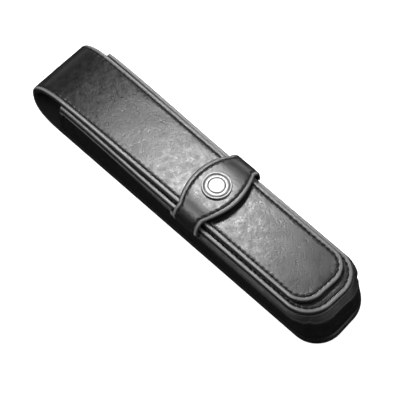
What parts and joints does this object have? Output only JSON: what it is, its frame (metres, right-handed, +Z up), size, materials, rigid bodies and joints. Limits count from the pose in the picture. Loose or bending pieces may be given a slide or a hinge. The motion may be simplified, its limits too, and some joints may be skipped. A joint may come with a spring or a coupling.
{
  "type": "fountain_pen_case",
  "caption": "Black leather fountain pen case: stiff boxed pouch, looped flap whose tongue slides under a stitched keeper strap with a round metal badge.",
  "frame": {"origin": "Centre of the bounding box in plan, on the surface the case lies on.", "axes": "+X from the looped mouth to the rounded closed end, +Y across the case, +Z up through the flap."},
  "size_m": [0.168, 0.0384, 0.0262],
  "materials": {
    "leather_black": "black satin calf leather with a fine grain",
    "lining": "black brushed lining",
    "board": "pressed fibre board",
    "thread": "waxed black polyester thread",
    "badge_metal": "bright silver plating",
    "plate_metal": "plain stamped steel"
  },
  "bodies": {
    "pouch": {"back_leather": "leather_black", "back_board": "board", "back_lining": "lining", "back_thread": "thread", "fold_leather": "leather_black", "fold_lining": "lining", "fold_thread_near": "thread", "fold_thread_far": "thread", "gusset_leather": "leather_black", "gusset_lining": "lining", "front_leather": "leather_black", "front_board": "board", "front_lining": "lining", "front_thread": "thread", "mouth_thread": "thread", "keeper_leather": "leather_black", "keeper_lining": "lining", "keeper_thread_rear": "thread", "keeper_thread_front": "thread", "badge": "badge_metal", "badge_backplate": "plate_metal"},
    "flap_rear": {"flap_rear_leather": "leather_black", "flap_rear_lining": "lining", "flap_rear_thread_near": "thread", "flap_rear_thread_far": "thread"},
    "flap_mid": {"flap_mid_leather": "leather_black", "flap_mid_lining": "lining", "flap_mid_thread_near": "thread", "flap_mid_thread_far": "thread"},
    "tongue": {"tongue_leather": "leather_black", "tongue_board": "board", "tongue_lining": "lining", "tongue_thread": "thread"}
  },
  "joints": [
    {"name": "flap_lift", "type": "hinge", "parent": "pouch", "child": "flap_rear", "pos_m": [-0.064, 0, 0.02105], "axis": [0, -1, 0], "range_deg": [0, 80]},
    {"name": "flap_crease", "type": "hinge", "parent": "flap_rear", "child": "flap_mid", "pos_m": [-0.0335, 0, 0.01845], "axis": [0, 1, 0], "range_deg": [0, 160]},
    {"name": "tongue_draw", "type": "hinge", "parent": "flap_mid", "child": "tongue", "pos_m": [-0.003, 0, 0.02105], "axis": [0, -1, 0], "range_deg": [0, 80]}
  ],
  "couplings": [
    {"joint": "flap_crease", "follows": "flap_lift", "ratio": 2},
    {"joint": "tongue_draw", "follows": "flap_lift", "ratio": 1}
  ]
}
